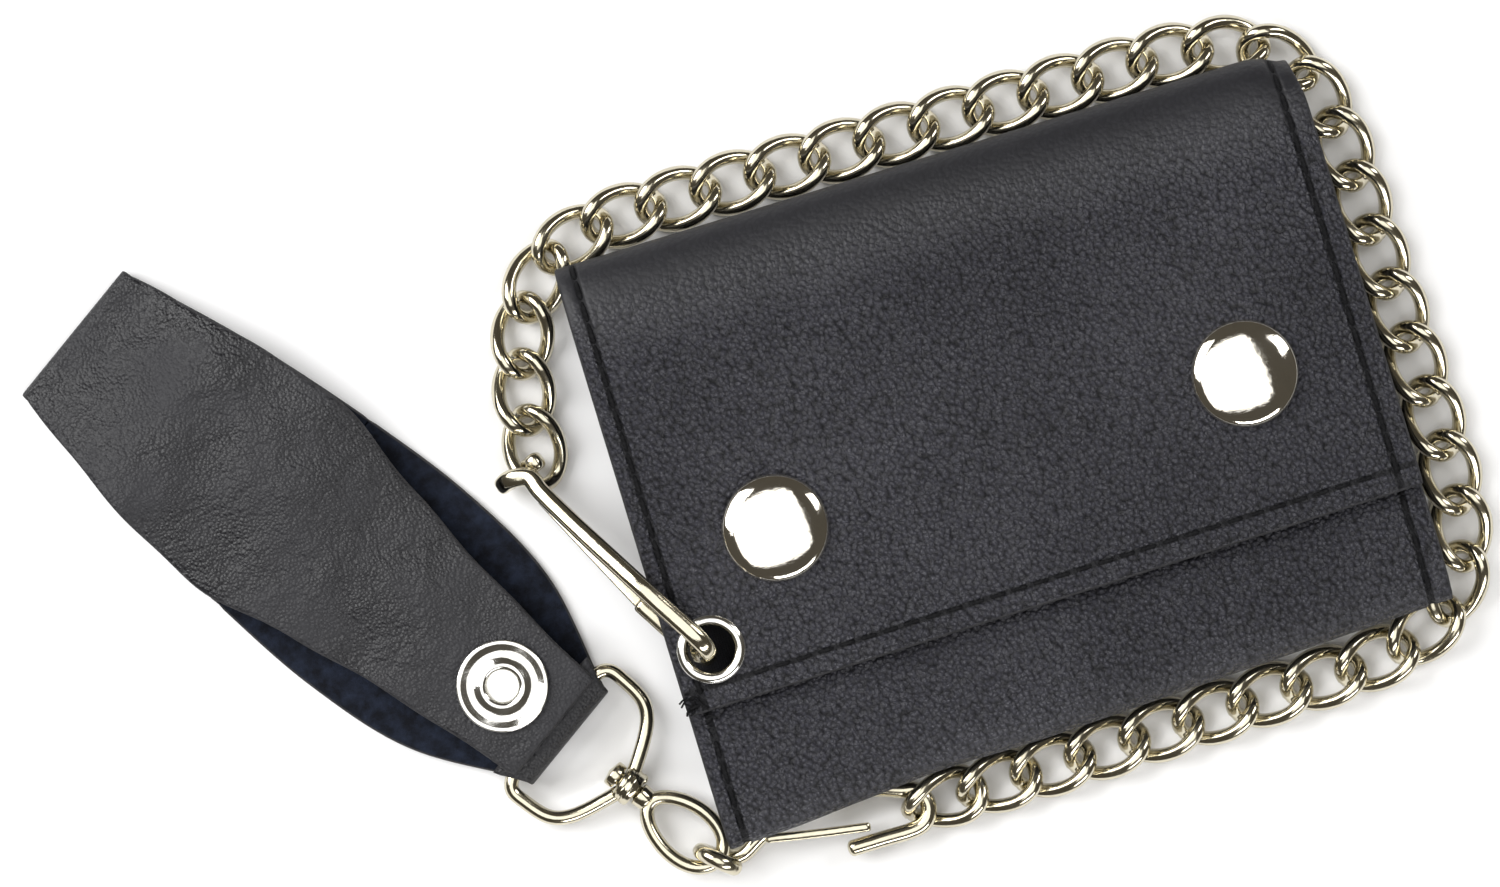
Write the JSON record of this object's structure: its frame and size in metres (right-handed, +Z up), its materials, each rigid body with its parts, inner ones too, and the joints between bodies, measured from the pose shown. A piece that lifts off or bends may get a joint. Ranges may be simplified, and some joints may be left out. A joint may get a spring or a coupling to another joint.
{
  "type": "chain wallet",
  "caption": "Snap-flap leather trifold wallet with curb chain, spring clips, swivel ring and snap-open belt strap, lying flat and closed.",
  "frame": {"origin": "centre of the wallet's back, on the surface that it lies on", "axes": "+X along the wallet's width to the right, +Y from the flap's hem to the top fold, +Z up from the table"},
  "size_m": [0.1964, 0.1102, 0.0182],
  "materials": {
    "leather": "smooth black pigmented leather",
    "lining": "black lining",
    "suede": "blue-black flesh side of the leather",
    "nickel": "bright warm nickel plate"
  },
  "bodies": {
    "back": {"back_shell": "leather", "bill_divider": "lining", "top_spine": "leather", "bottom_spine": "leather", "chain_link_04": "nickel"},
    "flap": {"flap_shell": "leather", "eyelet": "nickel", "flap_snap_cap_left": "nickel", "flap_snap_cap_right": "nickel"},
    "lower_panel": {"lower_panel": "leather", "card_pocket": "lining", "panel_snap_stud_left": "nickel", "panel_snap_stud_right": "nickel"},
    "upper_clip": {"upper_clip": "nickel"},
    "upper_clip_gate": {"upper_clip_gate": "nickel"},
    "link_01": {"chain_link_01": "nickel"},
    "link_02": {"chain_link_02": "nickel"},
    "link_03": {"chain_link_03": "nickel"},
    "link_05": {"chain_link_05": "nickel"},
    "link_06": {"chain_link_06": "nickel"},
    "link_07": {"chain_link_07": "nickel"},
    "link_08": {"chain_link_08": "nickel"},
    "link_09": {"chain_link_09": "nickel"},
    "link_10": {"chain_link_10": "nickel"},
    "link_11": {"chain_link_11": "nickel"},
    "link_12": {"chain_link_12": "nickel"},
    "link_13": {"chain_link_13": "nickel"},
    "link_14": {"chain_link_14": "nickel"},
    "link_15": {"chain_link_15": "nickel"},
    "link_16": {"chain_link_16": "nickel"},
    "link_17": {"chain_link_17": "nickel"},
    "link_18": {"chain_link_18": "nickel"},
    "link_19": {"chain_link_19": "nickel"},
    "link_20": {"chain_link_20": "nickel"},
    "link_21": {"chain_link_21": "nickel"},
    "link_22": {"chain_link_22": "nickel"},
    "link_23": {"chain_link_23": "nickel"},
    "link_24": {"chain_link_24": "nickel"},
    "link_25": {"chain_link_25": "nickel"},
    "link_26": {"chain_link_26": "nickel"},
    "link_27": {"chain_link_27": "nickel"},
    "link_28": {"chain_link_28": "nickel"},
    "link_29": {"chain_link_29": "nickel"},
    "link_30": {"chain_link_30": "nickel"},
    "link_31": {"chain_link_31": "nickel"},
    "link_32": {"chain_link_32": "nickel"},
    "link_33": {"chain_link_33": "nickel"},
    "link_34": {"chain_link_34": "nickel"},
    "link_35": {"chain_link_35": "nickel"},
    "link_36": {"chain_link_36": "nickel"},
    "link_37": {"chain_link_37": "nickel"},
    "link_38": {"chain_link_38": "nickel"},
    "lower_clip": {"lower_clip": "nickel"},
    "lower_clip_gate": {"lower_clip_gate": "nickel"},
    "swivel_loop": {"swivel_loop": "nickel"},
    "d_ring": {"d_ring": "nickel"},
    "strap_back": {"strap_back": "suede", "strap_snap_socket": "nickel"},
    "strap_front": {"strap_front": "leather", "strap_snap_stud": "nickel"}
  },
  "joints": [
    {"name": "flap_hinge", "type": "hinge", "parent": "back", "child": "flap", "pos_m": [0, 0.0374, 0.01], "axis": [-1, 0, 0], "range_deg": [0, 170], "deforming": ["top_spine", "chain_link_04"]},
    {"name": "panel_hinge", "type": "hinge", "parent": "back", "child": "lower_panel", "pos_m": [0, -0.0386, 0.0086], "axis": [1, 0, 0], "range_deg": [0, 85], "deforming": ["bottom_spine"]},
    {"name": "upper_clip_swing", "type": "hinge", "parent": "flap", "child": "upper_clip", "pos_m": [-0.0485, -0.0158, 0.0136], "axis": [0, 0, 1], "range_deg": [0, 2.5]},
    {"name": "upper_gate_flex", "type": "hinge", "parent": "upper_clip", "child": "upper_clip_gate", "pos_m": [-0.06535, 0.01126, 0.006], "axis": [-0.857, -0.5153, 0], "range_deg": [0, 9], "stiffness_Nm_per_rad": 0.02},
    {"name": "chain_left_sway", "type": "hinge", "parent": "upper_clip", "child": "link_01", "pos_m": [-0.0646, 0.0146, 0.00265], "axis": [0, 0, 1], "range_deg": [-4, 5]},
    {"name": "chain_left_sway_02", "type": "hinge", "parent": "link_01", "child": "link_02", "pos_m": [-0.06443, 0.02273, 0.00265], "axis": [0, 0, 1], "range_deg": [-10, 8]},
    {"name": "chain_left_sway_03", "type": "hinge", "parent": "link_02", "child": "link_03", "pos_m": [-0.06288, 0.03072, 0.00265], "axis": [0, 0, 1], "range_deg": [-4, 5]},
    {"name": "chain_top_bow", "type": "hinge", "parent": "back", "child": "link_05", "pos_m": [-0.05452, 0.04437, 0.00265], "axis": [0, 0, 1], "range_deg": [0, 3]},
    {"name": "chain_top_bow_06", "type": "hinge", "parent": "link_05", "child": "link_06", "pos_m": [-0.04672, 0.04671, 0.00265], "axis": [0, 0, 1], "range_deg": [-3.75, 0]},
    {"name": "chain_top_bow_07", "type": "hinge", "parent": "link_06", "child": "link_07", "pos_m": [-0.03857, 0.04682, 0.00265], "axis": [0, 0, 1], "range_deg": [-0.75, 0]},
    {"name": "chain_top_bow_08", "type": "hinge", "parent": "link_07", "child": "link_08", "pos_m": [-0.03044, 0.04679, 0.00265], "axis": [0, 0, 1], "range_deg": [0, 1.5]},
    {"name": "chain_middle_bow", "type": "hinge", "parent": "link_08", "child": "link_09", "pos_m": [-0.0223, 0.04673, 0.00265], "axis": [0, 0, 1], "range_deg": [0, 3]},
    {"name": "chain_middle_bow_10", "type": "hinge", "parent": "link_09", "child": "link_10", "pos_m": [-0.01417, 0.04664, 0.00265], "axis": [0, 0, 1], "range_deg": [-3.75, 0]},
    {"name": "chain_middle_bow_11", "type": "hinge", "parent": "link_10", "child": "link_11", "pos_m": [-0.00604, 0.04656, 0.00265], "axis": [0, 0, 1], "range_deg": [-1.5, 0]},
    {"name": "chain_middle_bow_12", "type": "hinge", "parent": "link_11", "child": "link_12", "pos_m": [0.0021, 0.04649, 0.00265], "axis": [0, 0, 1], "range_deg": [0, 2.25]},
    {"name": "chain_corner_bow", "type": "hinge", "parent": "link_12", "child": "link_13", "pos_m": [0.01025, 0.04641, 0.00265], "axis": [0, 0, 1], "range_deg": [0, 3]},
    {"name": "chain_corner_bow_14", "type": "hinge", "parent": "link_13", "child": "link_14", "pos_m": [0.01841, 0.04632, 0.00265], "axis": [0, 0, 1], "range_deg": [-3, 0]},
    {"name": "chain_corner_bow_15", "type": "hinge", "parent": "link_14", "child": "link_15", "pos_m": [0.02655, 0.04629, 0.00265], "axis": [0, 0, 1], "range_deg": [-2.25, 0]},
    {"name": "chain_corner_bow_16", "type": "hinge", "parent": "link_15", "child": "link_16", "pos_m": [0.03468, 0.04627, 0.00265], "axis": [0, 0, 1], "range_deg": [0, 1.5]},
    {"name": "chain_corner_bow_17", "type": "hinge", "parent": "link_16", "child": "link_17", "pos_m": [0.0428, 0.04578, 0.00265], "axis": [0, 0, 1], "range_deg": [0, 0.75]},
    {"name": "chain_right_bow", "type": "hinge", "parent": "link_17", "child": "link_18", "pos_m": [0.05069, 0.04376, 0.00265], "axis": [0, 0, 1], "range_deg": [0, 2.5]},
    {"name": "chain_right_bow_19", "type": "hinge", "parent": "link_18", "child": "link_19", "pos_m": [0.05637, 0.03794, 0.00265], "axis": [0, 0, 1], "range_deg": [0, 2.5]},
    {"name": "chain_right_bow_20", "type": "hinge", "parent": "link_19", "child": "link_20", "pos_m": [0.05829, 0.03004, 0.00265], "axis": [0, 0, 1], "range_deg": [0, 2.5]},
    {"name": "chain_right_bow_21", "type": "hinge", "parent": "link_20", "child": "link_21", "pos_m": [0.05873, 0.02191, 0.00265], "axis": [0, 0, 1], "range_deg": [-2.5, 0]},
    {"name": "chain_right_bow_22", "type": "hinge", "parent": "link_21", "child": "link_22", "pos_m": [0.05875, 0.01378, 0.00265], "axis": [0, 0, 1], "range_deg": [-2.5, 0]},
    {"name": "chain_right_bow_23", "type": "hinge", "parent": "link_22", "child": "link_23", "pos_m": [0.05908, 0.00565, 0.00265], "axis": [0, 0, 1], "range_deg": [-2.5, 0]},
    {"name": "chain_right_bow_24", "type": "hinge", "parent": "link_23", "child": "link_24", "pos_m": [0.05948, -0.00247, 0.00265], "axis": [0, 0, 1], "range_deg": [-2.5, 0]},
    {"name": "chain_right_bow_25", "type": "hinge", "parent": "link_24", "child": "link_25", "pos_m": [0.05975, -0.0106, 0.00265], "axis": [0, 0, 1], "range_deg": [-2.5, 0]},
    {"name": "chain_right_bow_26", "type": "hinge", "parent": "link_25", "child": "link_26", "pos_m": [0.05993, -0.01873, 0.00265], "axis": [0, 0, 1], "range_deg": [-2.5, 0]},
    {"name": "chain_right_bow_27", "type": "hinge", "parent": "link_26", "child": "link_27", "pos_m": [0.05965, -0.02686, 0.00265], "axis": [0, 0, 1], "range_deg": [0, 2.5]},
    {"name": "chain_right_bow_28", "type": "hinge", "parent": "link_27", "child": "link_28", "pos_m": [0.05824, -0.03488, 0.00265], "axis": [0, 0, 1], "range_deg": [0, 2.5]},
    {"name": "chain_right_bow_29", "type": "hinge", "parent": "link_28", "child": "link_29", "pos_m": [0.05355, -0.04156, 0.00265], "axis": [0, 0, 1], "range_deg": [0, 2.5]},
    {"name": "chain_bottom_bow", "type": "hinge", "parent": "link_29", "child": "link_30", "pos_m": [0.04606, -0.04478, 0.00265], "axis": [0, 0, 1], "range_deg": [0, 5]},
    {"name": "chain_bottom_bow_31", "type": "hinge", "parent": "link_30", "child": "link_31", "pos_m": [0.03796, -0.04564, 0.00265], "axis": [0, 0, 1], "range_deg": [0, 5]},
    {"name": "chain_bottom_bow_32", "type": "hinge", "parent": "link_31", "child": "link_32", "pos_m": [0.02982, -0.0456, 0.00265], "axis": [0, 0, 1], "range_deg": [-2.5, 0]},
    {"name": "chain_bottom_bow_33", "type": "hinge", "parent": "link_32", "child": "link_33", "pos_m": [0.0217, -0.04578, 0.00265], "axis": [0, 0, 1], "range_deg": [-5, 0]},
    {"name": "chain_bottom_bow_34", "type": "hinge", "parent": "link_33", "child": "link_34", "pos_m": [0.01356, -0.04594, 0.00265], "axis": [0, 0, 1], "range_deg": [-5, 0]},
    {"name": "chain_bottom_bow_35", "type": "hinge", "parent": "link_34", "child": "link_35", "pos_m": [0.00544, -0.04608, 0.00265], "axis": [0, 0, 1], "range_deg": [-5, 0]},
    {"name": "chain_bottom_bow_36", "type": "hinge", "parent": "link_35", "child": "link_36", "pos_m": [-0.00269, -0.04621, 0.00265], "axis": [0, 0, 1], "range_deg": [-2.5, 0]},
    {"name": "chain_bottom_bow_37", "type": "hinge", "parent": "link_36", "child": "link_37", "pos_m": [-0.01082, -0.04631, 0.00265], "axis": [0, 0, 1], "range_deg": [0, 5]},
    {"name": "chain_bottom_bow_38", "type": "hinge", "parent": "link_37", "child": "link_38", "pos_m": [-0.01896, -0.04636, 0.00265], "axis": [0, 0, 1], "range_deg": [0, 5]},
    {"name": "lower_clip_swing", "type": "hinge", "parent": "link_38", "child": "lower_clip", "pos_m": [-0.02708, -0.04638, 0.0036], "axis": [0, 0, 1], "range_deg": [0, 8]},
    {"name": "lower_gate_flex", "type": "hinge", "parent": "lower_clip", "child": "lower_clip_gate", "pos_m": [-0.05, -0.046, 0.0044], "axis": [0, 0, 1], "range_deg": [0, 9], "stiffness_Nm_per_rad": 0.02},
    {"name": "loop_swing", "type": "hinge", "parent": "lower_clip", "child": "swivel_loop", "pos_m": [-0.0563, -0.04525, 0.00415], "axis": [0, 0, 1], "range_deg": [-2, 10]},
    {"name": "swivel_spin", "type": "hinge", "parent": "swivel_loop", "child": "d_ring", "pos_m": [-0.06561, -0.03151, 0.00295], "axis": [0.5592, -0.829, 0], "continuous": true},
    {"name": "strap_tilt", "type": "hinge", "parent": "d_ring", "child": "strap_back", "pos_m": [-0.07327, -0.02015, 0.00295], "axis": [0.829, 0.5592, 0], "range_deg": [0, 110]},
    {"name": "strap_open", "type": "hinge", "parent": "strap_back", "child": "strap_front", "pos_m": [-0.12265, 0.05305, 0.00165], "axis": [-0.829, -0.5592, 0], "range_deg": [0, 110]}
  ],
  "couplings": [
    {"joint": "panel_hinge", "follows": "flap_hinge", "ratio": 0.5},
    {"joint": "chain_left_sway_02", "follows": "chain_left_sway", "ratio": -2},
    {"joint": "chain_left_sway_03", "follows": "chain_left_sway", "ratio": 1},
    {"joint": "chain_top_bow_06", "follows": "chain_top_bow", "ratio": -1.25},
    {"joint": "chain_top_bow_07", "follows": "chain_top_bow", "ratio": -0.25},
    {"joint": "chain_top_bow_08", "follows": "chain_top_bow", "ratio": 0.5},
    {"joint": "chain_middle_bow_10", "follows": "chain_middle_bow", "ratio": -1.25},
    {"joint": "chain_middle_bow_11", "follows": "chain_middle_bow", "ratio": -0.5},
    {"joint": "chain_middle_bow_12", "follows": "chain_middle_bow", "ratio": 0.75},
    {"joint": "chain_corner_bow_14", "follows": "chain_corner_bow", "ratio": -1},
    {"joint": "chain_corner_bow_15", "follows": "chain_corner_bow", "ratio": -0.75},
    {"joint": "chain_corner_bow_16", "follows": "chain_corner_bow", "ratio": 0.5},
    {"joint": "chain_corner_bow_17", "follows": "chain_corner_bow", "ratio": 0.25},
    {"joint": "chain_right_bow_19", "follows": "chain_right_bow", "ratio": 1},
    {"joint": "chain_right_bow_20", "follows": "chain_right_bow", "ratio": 1},
    {"joint": "chain_right_bow_21", "follows": "chain_right_bow", "ratio": -1},
    {"joint": "chain_right_bow_22", "follows": "chain_right_bow", "ratio": -1},
    {"joint": "chain_right_bow_23", "follows": "chain_right_bow", "ratio": -1},
    {"joint": "chain_right_bow_24", "follows": "chain_right_bow", "ratio": -1},
    {"joint": "chain_right_bow_25", "follows": "chain_right_bow", "ratio": -1},
    {"joint": "chain_right_bow_26", "follows": "chain_right_bow", "ratio": -1},
    {"joint": "chain_right_bow_27", "follows": "chain_right_bow", "ratio": 1},
    {"joint": "chain_right_bow_28", "follows": "chain_right_bow", "ratio": 1},
    {"joint": "chain_right_bow_29", "follows": "chain_right_bow", "ratio": 1},
    {"joint": "chain_bottom_bow_31", "follows": "chain_bottom_bow", "ratio": 1},
    {"joint": "chain_bottom_bow_32", "follows": "chain_bottom_bow", "ratio": -0.5},
    {"joint": "chain_bottom_bow_33", "follows": "chain_bottom_bow", "ratio": -1},
    {"joint": "chain_bottom_bow_34", "follows": "chain_bottom_bow", "ratio": -1},
    {"joint": "chain_bottom_bow_35", "follows": "chain_bottom_bow", "ratio": -1},
    {"joint": "chain_bottom_bow_36", "follows": "chain_bottom_bow", "ratio": -0.5},
    {"joint": "chain_bottom_bow_37", "follows": "chain_bottom_bow", "ratio": 1},
    {"joint": "chain_bottom_bow_38", "follows": "chain_bottom_bow", "ratio": 1}
  ]
}
